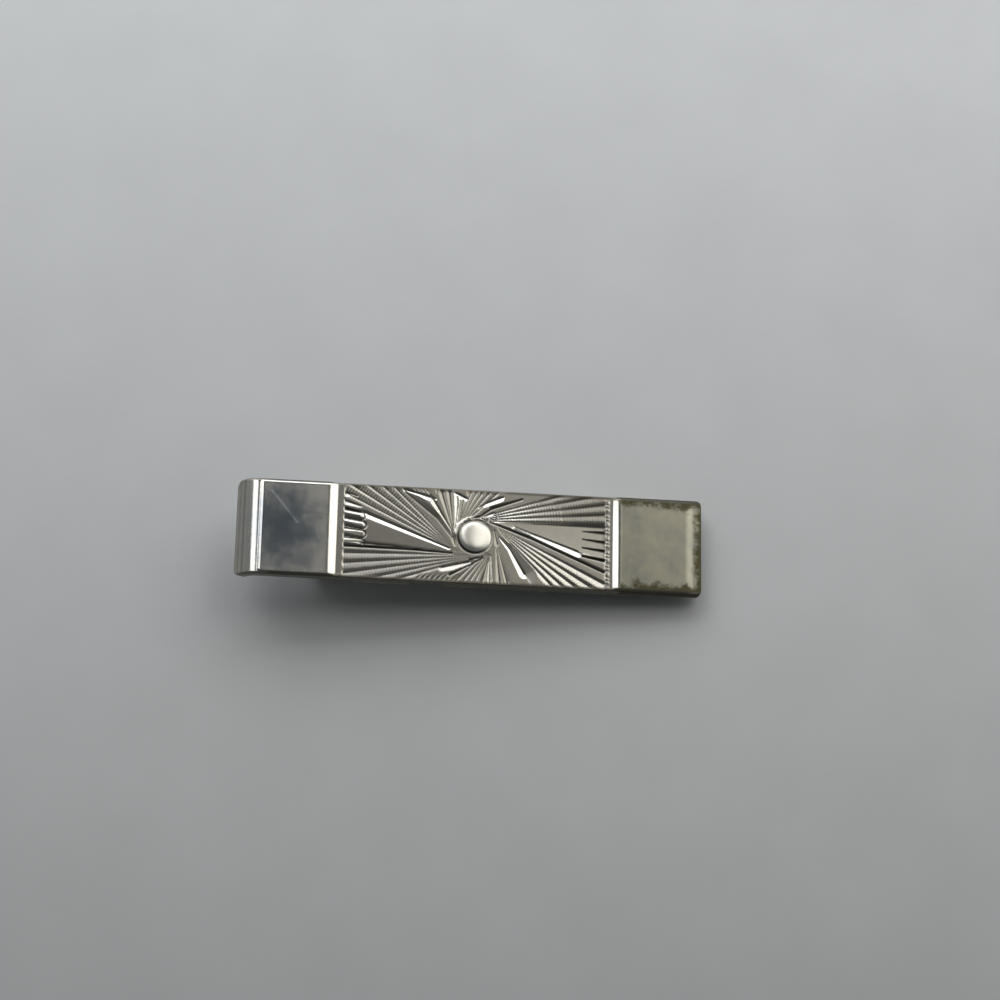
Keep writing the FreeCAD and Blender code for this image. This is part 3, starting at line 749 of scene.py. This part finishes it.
def struck_panel(u, v):
    """Height of the ornament over its field, the distance along its grooves, and the finish it gives.

    The boss, the crescent and the beads stand up. The cuts go down, but not into the boss and less towards
    the long edges, and so does the border strip at the tip.
    """
    past_field = np.abs(u) - FIELD_HALF_LENGTH
    in_field = 1 - smooth_step(*FIELD_FADE, past_field)
    in_panel = 1 - smooth_step(*PANEL_FADE, past_field - BORDER_WIDTH)
    shallow = 1 - EDGE_FLATTENING * smooth_step(*EDGE_FLAT_RUN, HALF_WIDTH - np.abs(v))
    past_boss = np.hypot(u, v) - BOSS_RADIUS
    clear_of_boss = smooth_step(*RING_FADE, past_boss)
    on_boss = 1 - smooth_step(-BOSS_SATIN_RIM, 0, past_boss)
    depth, soot, along, milled, bright = carve(u, v)
    crescent = crescent_height(u, v)
    slope = np.clip((FIELD_HALF_LENGTH + BORDER_WIDTH - u) / BORDER_WIDTH, 0, 1)
    strip = slope * (1 - in_field) * (u > 0)
    height = (boss_height(u, v) - depth * clear_of_boss) * in_field * shallow
    height += bead_height(u, v) + crescent - STRIP_DROP * strip
    polish = np.maximum(bright * clear_of_boss, CRESCENT_POLISH * crescent / CRESCENT_RISE)
    # The soot attribute holds the tarnish of the grooves and of the ring, and the ring's painted shade on its
    # near left
    finish = {
        "soot": np.maximum(soot * clear_of_boss * shallow, ring_tarnish_and_shade(u, v)) * in_field,
        "milled": milled * clear_of_boss * in_field,
        "bright": polish * in_field + STRIP_POLISH * (in_panel - in_field),
        "field": in_panel * (1 - on_boss),
        "boss": on_boss,
    }
    return height, along, finish


def bar_wear(places, level, u, v, on_top, on_edge):
    """Where the bar is filmed, stained, dulled or painted darker as shade, with the places that its finish
    is drawn by.

    The lip of the hook is painted darker as shade, with painted reflection bands across it. The side walls
    and the near rim are painted darker as shade, and the far rim is dull in a stretch.
    """
    from_edge = HALF_WIDTH - np.abs(v)
    left_pad = smooth_step(*FILM_START, level) * (1 - smooth_step(*FILM_END, level))
    right_pad = smooth_step(*TIP_WEAR_RUN, level - RIGHT_PAD_START)
    to_rim = np.minimum(from_edge, STAIN_TIP_SHARE * (BAR_LENGTH - level))
    # Painted reflection bands across the hook's lip, over painted shade that fades out along the hook
    painted_band = np.sin(2 * math.pi * places / HOOK_PAINTED_BAND_PITCH)
    lip = (1 - HOOK_PAINTED_BAND_SWING + HOOK_PAINTED_BAND_SWING * painted_band) * (1 - smooth_step(*LIP_SHADE_RUN, places))
    # Rims painted darker: as painted shade on the near side, as dulling on the far side
    dull_and_shaded_side = np.where(v < 0, smooth_step(*NEAR_RIM_SHADE_RUN, u), smooth_step(*FAR_RIM_RUN, u))
    dull_and_shaded_rim = DULL_AND_SHADED_RIM * smooth_step(*DULL_AND_SHADED_RIM_RUN, from_edge) * dull_and_shaded_side * on_top
    return {
        "left_pad": left_pad * smooth_step(*FILM_RIM_RUN, from_edge),
        "right_pad": right_pad * np.ones_like(v),
        "rim": np.clip(to_rim, 0, STAIN_REACH),
        # The edge attribute: painted shade on the side walls, the lip and the near rim, painted bands on the
        # lip, dulling on the far rim
        "edge": np.maximum(on_edge, np.maximum(lip, dull_and_shaded_rim)),
        "bar_u": u,
        "bar_v": v,
    }


def struck_face_bar(material):
    """The bent bar as rings across it, with the ornament struck into the top of its panel.

    Each ring hangs from a point of the bar's top line, square to it: round an arc for the hook, then
    straight.
    """
    places, hook, tip = bar_stations()
    places = places[:, None]
    angle = math.pi / 2 + np.clip(hook - places, 0, None) / HOOK_RADIUS
    level = places - hook + HOOK_RADIUS * math.sin(HOOK_ANGLE)
    bent = places < hook
    over = np.where(bent, HOOK_RADIUS * (np.cos(angle) + math.sin(HOOK_ANGLE)), level)
    x = over - PIVOT_PLACE
    z = np.where(bent, BAR_TOP + HOOK_RADIUS * (np.sin(angle) - 1), BAR_TOP)
    way_x = np.where(bent, -np.cos(angle), 0.0)
    way_z = np.where(bent, -np.sin(angle), -1.0)

    panel, y, deep, on_top, on_edge = bar_rings(places, tip - places, level)
    u = np.broadcast_to(over - BOSS_PLACE, y.shape)
    height, mill_along, finish = struck_panel(u, y)
    crown = PAD_CROWN * (y / HALF_WIDTH)**2 * smooth_step(*CROWN_RUN, level)
    drop = (plate_drop(over, y) + crown) * (1 - panel)
    deep = deep + (drop - height) * on_top
    points = lean(x + way_x * deep, y, z + way_z * deep)

    attributes = {name: share * on_top for name, share in finish.items()}
    attributes["mill_along"] = mill_along
    attributes.update(bar_wear(places, level, u, y, on_top, on_edge))
    piece = tube_mesh("struck_face_bar", points, material, attributes)
    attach(piece, "bar")
    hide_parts("face_bar")


def pad_film(tree, place, blotch):
    """The bluish film on the hooked pad, from 0 to 1: a ragged oval."""
    oval = add_node(tree, "ShaderNodeMapping",
                    {"Vector": place, "Location": FILM_MIDDLE, "Scale": FILM_REACH},
                    vector_type="TEXTURE").outputs[0]
    from_middle = add_node(tree, "ShaderNodeVectorMath", {0: oval}, operation="LENGTH").outputs["Value"]
    ragged = add_node(tree, "ShaderNodeMath",
                      {0: blotch, 1: -FILM_RAGGED, 2: from_middle}, operation="MULTIPLY_ADD").outputs[0]
    return add_node(tree, "ShaderNodeMapRange",
                    {"Value": ragged, "From Min": FILM_FADE[0], "From Max": FILM_FADE[1]},
                    interpolation_type="SMOOTHSTEP").outputs[0]


def pad_scratch(tree, place):
    """A scratch across the film, from 0 to 1, from the far corner of the pad towards its middle."""
    ruler = add_node(tree, "ShaderNodeMapping",
                     {"Vector": place, "Location": SCRATCH_START, "Rotation": (0, 0, SCRATCH_TURN)},
                     vector_type="TEXTURE").outputs[0]
    ruler = add_node(tree, "ShaderNodeSeparateXYZ", {0: ruler}).outputs
    off_line = add_node(tree, "ShaderNodeMath", {0: ruler["Y"]}, operation="ABSOLUTE").outputs[0]
    scratch = add_node(tree, "ShaderNodeMapRange",
                       {"Value": off_line, "From Min": SCRATCH_HALF_WIDTH, "From Max": 0.0}).outputs[0]
    for limit, side in ((SCRATCH_LENGTH, "LESS_THAN"), (0.0, "GREATER_THAN")):
        within = add_node(tree, "ShaderNodeMath", {0: ruler["X"], 1: limit}, operation=side).outputs[0]
        scratch = add_node(tree, "ShaderNodeMath", {0: scratch, 1: within}, operation="MULTIPLY").outputs[0]
    return scratch


def tip_stain(tree, read, blotch):
    """The olive stain, from 0 to 1, that creeps in unevenly from the rim of the pad at the tip."""
    creep = add_node(tree, "ShaderNodeMath",
                     {0: blotch, 1: -STAIN_RAGGED, 2: read["rim"]}, operation="MULTIPLY_ADD").outputs[0]
    stain = add_node(tree, "ShaderNodeMapRange",
                     {"Value": creep, "From Min": STAIN_FADE[0], "From Max": STAIN_FADE[1],
                      "To Max": STAIN_FULL}).outputs[0]
    return add_node(tree, "ShaderNodeMath",
                    {0: stain, 1: read["right_pad"]}, operation="MULTIPLY").outputs[0]


def milled_normal(tree, read, grain):
    """The fine relief of the plate: cross lines on the milled walls, and a grain all over.

    The lines are a sine along the groove, weighed by how milled the wall is and broken up by the grain.
    """
    turn = add_node(tree, "ShaderNodeMath",
                    {0: read["mill_along"], 1: 2 * math.pi / MILL_PERIOD}, operation="MULTIPLY").outputs[0]
    wave = add_node(tree, "ShaderNodeMath", {0: turn}, operation="SINE").outputs[0]
    for weight in (read["milled"], grain):
        wave = add_node(tree, "ShaderNodeMath", {0: wave, 1: weight}, operation="MULTIPLY").outputs[0]
    lines = add_node(tree, "ShaderNodeBump",
                     {"Strength": MILL_STRENGTH, "Distance": MILL_HEIGHT * MM, "Height": wave}).outputs[0]
    return add_node(tree, "ShaderNodeBump",
                    {"Strength": GRAIN_STRENGTH, "Distance": GRAIN_HEIGHT * MM, "Height": grain,
                     "Normal": lines}).outputs[0]


def silver_plate():
    """Silver plate on struck brass: polished pads, satin ribs, dark tarnish lying in the grooves.

    The eye sees a warm grey mirror with a bluish film on the hooked pad, black lines between milled ribs,
    an olive stain round the worn pad at the tip and darker edges: a dull far rim, and painted shade on the
    side walls, the near rim and the hook's lip, with painted reflection bands across the lip. Painted shade
    also lies in the ring round the boss on its near left.
    """
    material, tree, shader = new_material("silver_plate_struck_and_tarnished")
    names = ("soot", "mill_along", "milled", "bright", "field", "boss", "left_pad", "right_pad", "rim",
             "edge", "bar_u", "bar_v")
    read = {name: add_node(tree, "ShaderNodeAttribute", attribute_name=name).outputs["Fac"] for name in names}
    place = add_node(tree, "ShaderNodeCombineXYZ", {"X": read["bar_u"], "Y": read["bar_v"]}).outputs[0]
    cloud = add_node(tree, "ShaderNodeTexNoise",
                     {"Vector": place, "Scale": 1 / CLOUD_SIZE, "Detail": 6.0,
                      "Roughness": 0.66}).outputs["Fac"]
    blotch = add_node(tree, "ShaderNodeTexNoise",
                      {"Vector": place, "Scale": 1 / BLOTCH_SIZE, "Detail": 8.0,
                       "Roughness": 0.7}).outputs["Fac"]
    grain = add_node(tree, "ShaderNodeTexNoise",
                     {"Vector": place, "Scale": 1 / GRAIN_SIZE, "Detail": 3.0}).outputs["Fac"]
    film = pad_film(tree, place, blotch)
    scratch = pad_scratch(tree, place)
    stain = tip_stain(tree, read, blotch)

    # Metal of the panel that no polished cut has laid bare, and how far rims and grooves are covered. The rim
    # cover also lays painted shade on the side walls, the near rim and the hook's lip, and the groove cover
    # lays painted shade in the ring's near left
    uncut = add_node(tree, "ShaderNodeMath", {0: read["bright"], 1: -1.0, 2: read["field"]},
                     operation="MULTIPLY_ADD", use_clamp=True).outputs[0]
    rim = add_node(tree, "ShaderNodeMath", {0: read["edge"], 1: RIM_AND_SHADE_COVER}, operation="MULTIPLY").outputs[0]
    grooves = add_node(tree, "ShaderNodeMath",
                       {0: read["soot"], 1: TARNISH_AND_SHADE_COVER}, operation="MULTIPLY").outputs[0]

    # Mottled tones of the metal, then what covers it, from the lowest layer to the highest
    colour, dull, worn = (
        add_node(tree, "ShaderNodeMix",
                 {0: cloud, 6: linear(dark), 7: linear(pale)}, data_type="RGBA").outputs[2]
        for dark, pale in (CLEAN_SILVER, DULL_SILVER, WORN_SILVER))
    layers = [(uncut, dull), (film, linear(BLUISH_FILM)), (read["right_pad"], worn),
              (stain, linear(OLIVE_STAIN)), (rim, linear(DULL_RIM_AND_PAINTED_SHADE)), (grooves, linear(TARNISH_AND_SHADE))]
    for cover, tone in layers:
        colour = add_node(tree, "ShaderNodeMix", {0: cover, 6: colour, 7: tone}, data_type="RGBA").outputs[2]
    tree.links.new(colour, shader.inputs["Base Color"])
    shader.inputs["Metallic"].default_value = 1.0

    # What makes the plate rougher, and by how much
    haze = add_node(tree, "ShaderNodeMapRange",
                    {"Value": film, "To Min": PAD_HAZE[0], "To Max": PAD_HAZE[1]}).outputs[0]
    rough = add_node(tree, "ShaderNodeMath",
                     {0: haze, 1: read["left_pad"], 2: PLATE_ROUGH}, operation="MULTIPLY_ADD").outputs[0]
    roughened = [(uncut, 0.2), (read["boss"], 0.24), (read["right_pad"], 0.17), (stain, 0.2),
                 (read["edge"], 0.2), (read["soot"], 0.2), (scratch, 0.07)]
    for where, more in roughened:
        rough = add_node(tree, "ShaderNodeMath",
                         {0: where, 1: more, 2: rough}, operation="MULTIPLY_ADD").outputs[0]
    tree.links.new(rough, shader.inputs["Roughness"])
    tree.links.new(milled_normal(tree, read, grain), shader.inputs["Normal"])
    return material


def spring_route():
    """The middle line of the spring, evenly sampled: a leg under the base, the turns, a leg on the lever.

    Seen along the pin, the wire comes in over the top of the coil and leaves below it. The turns drift
    along the pin at a steady pitch, which fades in and out so that both legs stand square to the pin.
    """
    base_seat = seat_angle(COIL_RADIUS, LEG_LENGTH, PIN_DROP - WIRE_RADIUS - LEG_CLEARANCE)
    web_seat = seat_angle(COIL_RADIUS, LEG_LENGTH, PIN_RISE - WIRE_RADIUS - LEG_CLEARANCE)
    first = math.pi / 2 - LEAN - base_seat
    last = -math.pi / 2 + web_seat
    turns = COIL_TURNS + (first - last) / (2 * math.pi)
    turn = np.linspace(0, turns, COIL_POINTS)
    nearest = np.minimum(turn, turns - turn)
    eased = np.clip(COIL_EASING_TURN - nearest, 0, None)**2 / (2 * COIL_EASING_TURN)
    drift = COIL_PITCH * (turn - turns / 2 - np.copysign(eased, turn - turns / 2))
    angle = first - 2 * math.pi * turn
    coil = np.stack([COIL_RADIUS * np.cos(angle), drift, COIL_RADIUS * np.sin(angle)], axis=1)
    ways = np.array([[math.sin(end), 0, -math.cos(end)] for end in (angle[0], angle[-1])])
    steps = np.linspace(0, LEG_LENGTH, LEG_POINTS)[1:, None]
    leg_in = coil[0] - ways[0] * steps[::-1]
    leg_out = coil[-1] + ways[1] * steps
    return np.concatenate([leg_in, coil, leg_out]) + PIN


def wound_spring(material):
    """A round wire carried along the spring's route: each ring is a circle square to the route."""
    route = spring_route()
    way = np.gradient(route, axis=0)
    way /= np.linalg.norm(way, axis=1)[:, None]
    aside = np.broadcast_to([0.0, 1.0, 0.0], route.shape)
    aside = aside - way * np.sum(aside * way, axis=1)[:, None]
    aside /= np.linalg.norm(aside, axis=1)[:, None]
    across = np.cross(aside, way)
    turn = np.linspace(0, 2 * math.pi, WIRE_SIDES, endpoint=False)
    ring = np.sin(turn)[None, :, None] * aside[:, None, :] - np.cos(turn)[None, :, None] * across[:, None, :]
    piece = tube_mesh("wound_spring", route[:, None, :] + WIRE_RADIUS * ring, material)
    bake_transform(piece)
    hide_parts("torsion_spring")


def nickelled_steel(name, base, worn, rough):
    """Nickel plate on pressed steel: a plain grey metal with drawn grain along the strip and dull patches."""
    material, tree, shader = new_material(name)
    place = add_node(tree, "ShaderNodeTexCoord").outputs["Object"]
    drawn = add_node(tree, "ShaderNodeMapping",
                     {"Vector": place, "Scale": (DRAWN_STRETCH, 1.0, 1.0)}).outputs[0]
    grain = add_node(tree, "ShaderNodeTexNoise",
                     {"Vector": drawn, "Scale": 1 / (DRAWN_GRAIN * MM), "Detail": 4.0}).outputs["Fac"]
    cloud = add_node(tree, "ShaderNodeTexNoise",
                     {"Vector": place, "Scale": 1 / (PATCH_SIZE * MM), "Detail": 4.0}).outputs["Fac"]
    patch = add_node(tree, "ShaderNodeMapRange",
                     {"Value": cloud, "From Min": PATCH_FADE[0], "From Max": PATCH_FADE[1]}).outputs[0]
    colour = add_node(tree, "ShaderNodeMix",
                      {0: patch, 6: linear(base), 7: linear(worn)}, data_type="RGBA").outputs[2]
    tree.links.new(colour, shader.inputs["Base Color"])
    shader.inputs["Metallic"].default_value = 1.0
    smoother, rougher = (rough + more for more in PATCH_ROUGH)
    roughness = add_node(tree, "ShaderNodeMapRange",
                         {"Value": cloud, "To Min": smoother, "To Max": rougher}).outputs[0]
    tree.links.new(roughness, shader.inputs["Roughness"])
    rounded = add_node(tree, "ShaderNodeBevel", {"Radius": BROKEN_EDGE * MM}, samples=6).outputs[0]
    bump = add_node(tree, "ShaderNodeBump",
                    {"Strength": DRAWN_STRENGTH, "Distance": DRAWN_HEIGHT * MM, "Height": grain,
                     "Normal": rounded}).outputs[0]
    tree.links.new(bump, shader.inputs["Normal"])
    return material


def dress(node, material):
    """Give a kept node of the part one material."""
    mesh = frame["nodes"][node].data
    mesh.materials.clear()
    mesh.materials.append(material)


def paper_floor():
    """A flat sheet under the clip, pale and a little mottled, with painted light falloff: lighter towards the
    far side.
    """
    corners = np.array([[-1, -1, 0], [1, -1, 0], [1, 1, 0], [-1, 1, 0]]) * FLOOR_REACH * MM
    mesh = bpy.data.meshes.new("paper_floor")
    mesh.from_pydata(corners.tolist(), [], [(0, 1, 2, 3)])
    material, tree, shader = new_material("matt_paper")
    place = add_node(tree, "ShaderNodeTexCoord").outputs["Object"]
    # Painted light falloff: the colour runs from a dimmer tone at the near side to a lighter one at the far
    # side
    across = add_node(tree, "ShaderNodeSeparateXYZ", {0: place}).outputs["Y"]
    near, far = (end * MM for end in FLOOR_FALLOFF_RUN)
    painted_falloff = add_node(tree, "ShaderNodeMapRange",
                     {"Value": across, "From Min": near, "From Max": far}).outputs[0]
    painted_dim_tone, painted_lit_tone = (linear(tone) for tone in FLOOR_PAINTED_FALLOFF_TONES)
    sheet = add_node(tree, "ShaderNodeMix",
                     {0: painted_falloff, 6: painted_dim_tone, 7: painted_lit_tone}, data_type="RGBA").outputs[2]
    mottle = add_node(tree, "ShaderNodeTexNoise",
                      {"Vector": place, "Scale": 1 / (MOTTLE_SIZE * MM), "Detail": 6.0}).outputs["Fac"]
    shade = add_node(tree, "ShaderNodeMapRange",
                     {"Value": mottle, "To Min": MOTTLE_SHADE[0], "To Max": MOTTLE_SHADE[1]}).outputs[0]
    colour = add_node(tree, "ShaderNodeVectorMath", {0: sheet, 3: shade}, operation="SCALE").outputs[0]
    tree.links.new(colour, shader.inputs["Base Color"])
    shader.inputs["Roughness"].default_value = PAPER_ROUGH
    mesh.materials.append(material)
    floor = bpy.data.objects.new("paper_floor", mesh)
    bpy.context.scene.collection.objects.link(floor)


def hang_lamp(lamp):
    """Put up a lamp so that it faces the middle of the clip."""
    data = bpy.data.lights.new(lamp.name, "AREA")
    data.shape = "RECTANGLE"
    data.size, data.size_y = (side * MM for side in lamp.size)
    data.energy = lamp.power
    data.color = linear(lamp.colour)[:3]
    hung = bpy.data.objects.new(lamp.name, data)
    hung.location = Vector(lamp.place) * MM
    hung.rotation_euler = hung.location.to_track_quat("Z", "Y").to_euler()
    bpy.context.scene.collection.objects.link(hung)


def room():
    """Soft daylight from the far side with a dim ceiling. The near wall gives little light, and metal
    mirrors it as a middle grey."""
    world = bpy.data.worlds.new("room")
    world.use_nodes = True
    bpy.context.scene.world = world
    tree = world.node_tree
    tree.nodes.clear()
    way = add_node(tree, "ShaderNodeTexCoord").outputs["Generated"]
    height = add_node(tree, "ShaderNodeSeparateXYZ", {0: way}).outputs["Z"]
    overhead = add_node(tree, "ShaderNodeMapRange",
                        {"Value": height, "From Min": CEILING_RUN[0], "From Max": CEILING_RUN[1]},
                        interpolation_type="SMOOTHSTEP").outputs[0]
    to_window = add_node(tree, "ShaderNodeVectorMath",
                         {0: way, 1: WINDOW_WAY}, operation="DOT_PRODUCT").outputs["Value"]
    light_side = add_node(tree, "ShaderNodeMapRange",
                          {"Value": to_window, "From Min": WINDOW_RUN[0], "From Max": WINDOW_RUN[1]},
                          interpolation_type="SMOOTHSTEP").outputs[0]
    in_metal = add_node(tree, "ShaderNodeLightPath").outputs["Is Glossy Ray"]
    near_wall = add_node(tree, "ShaderNodeMix",
                         {0: in_metal, 6: linear(NEAR_WALL), 7: linear(NEAR_WALL_IN_METAL)},
                         data_type="RGBA").outputs[2]
    walls = add_node(tree, "ShaderNodeMix",
                     {0: light_side, 6: near_wall, 7: linear(WINDOW_WALL)}, data_type="RGBA").outputs[2]
    colour = add_node(tree, "ShaderNodeMix",
                      {0: overhead, 6: walls, 7: linear(CEILING)}, data_type="RGBA").outputs[2]
    back = add_node(tree, "ShaderNodeBackground", {"Color": colour, "Strength": 1.0}).outputs[0]
    add_node(tree, "ShaderNodeOutputWorld", {"Surface": back})


def place_camera():
    """A camera aimed at a point of the floor, from its azimuth and elevation, and rolled about its axis."""
    back = Vector((
        math.cos(CAMERA_ELEVATION) * math.sin(CAMERA_AZIMUTH),
        -math.cos(CAMERA_ELEVATION) * math.cos(CAMERA_AZIMUTH),
        math.sin(CAMERA_ELEVATION),
    ))
    level = Vector((0, 0, 1)).cross(back).normalized()
    upright = back.cross(level)
    right = math.cos(CAMERA_ROLL) * level + math.sin(CAMERA_ROLL) * upright
    up = math.cos(CAMERA_ROLL) * upright - math.sin(CAMERA_ROLL) * level
    data = bpy.data.cameras.new("camera")
    data.sensor_width = CAMERA_SENSOR
    data.lens = data.sensor_width / 2 / math.tan(CAMERA_FIELD / 2)
    data.clip_start = CAMERA_CLIP_START
    camera = bpy.data.objects.new("camera", data)
    turned = Matrix((right, up, back)).transposed().to_4x4()
    camera.matrix_world = Matrix.Translation(CAMERA_TARGET + back * CAMERA_DISTANCE) @ turned
    bpy.context.scene.collection.objects.link(camera)
    bpy.context.scene.camera = camera


def main():
    """Dress every piece, then set the floor, the light and the camera."""
    struck_face_bar(silver_plate())
    wound_spring(nickelled_steel("drawn_spring_wire", "#A9A8A2", "#8B8880", rough=0.22))
    dress("clasp_base", nickelled_steel("nickelled_strip_steel", "#C6C3B8", "#9C978A", rough=0.26))
    dress("lever", nickelled_steel("nickelled_pressed_steel", "#C2C0B8", "#A19C90", rough=0.24))
    dress("hinge_pin", nickelled_steel("nickelled_turned_steel", "#C9C7C0", "#AAA69B", rough=0.2))
    paper_floor()
    room()
    for lamp in LAMPS:
        hang_lamp(lamp)
    place_camera()
    bpy.context.scene.view_settings.view_transform = "Standard"


main()
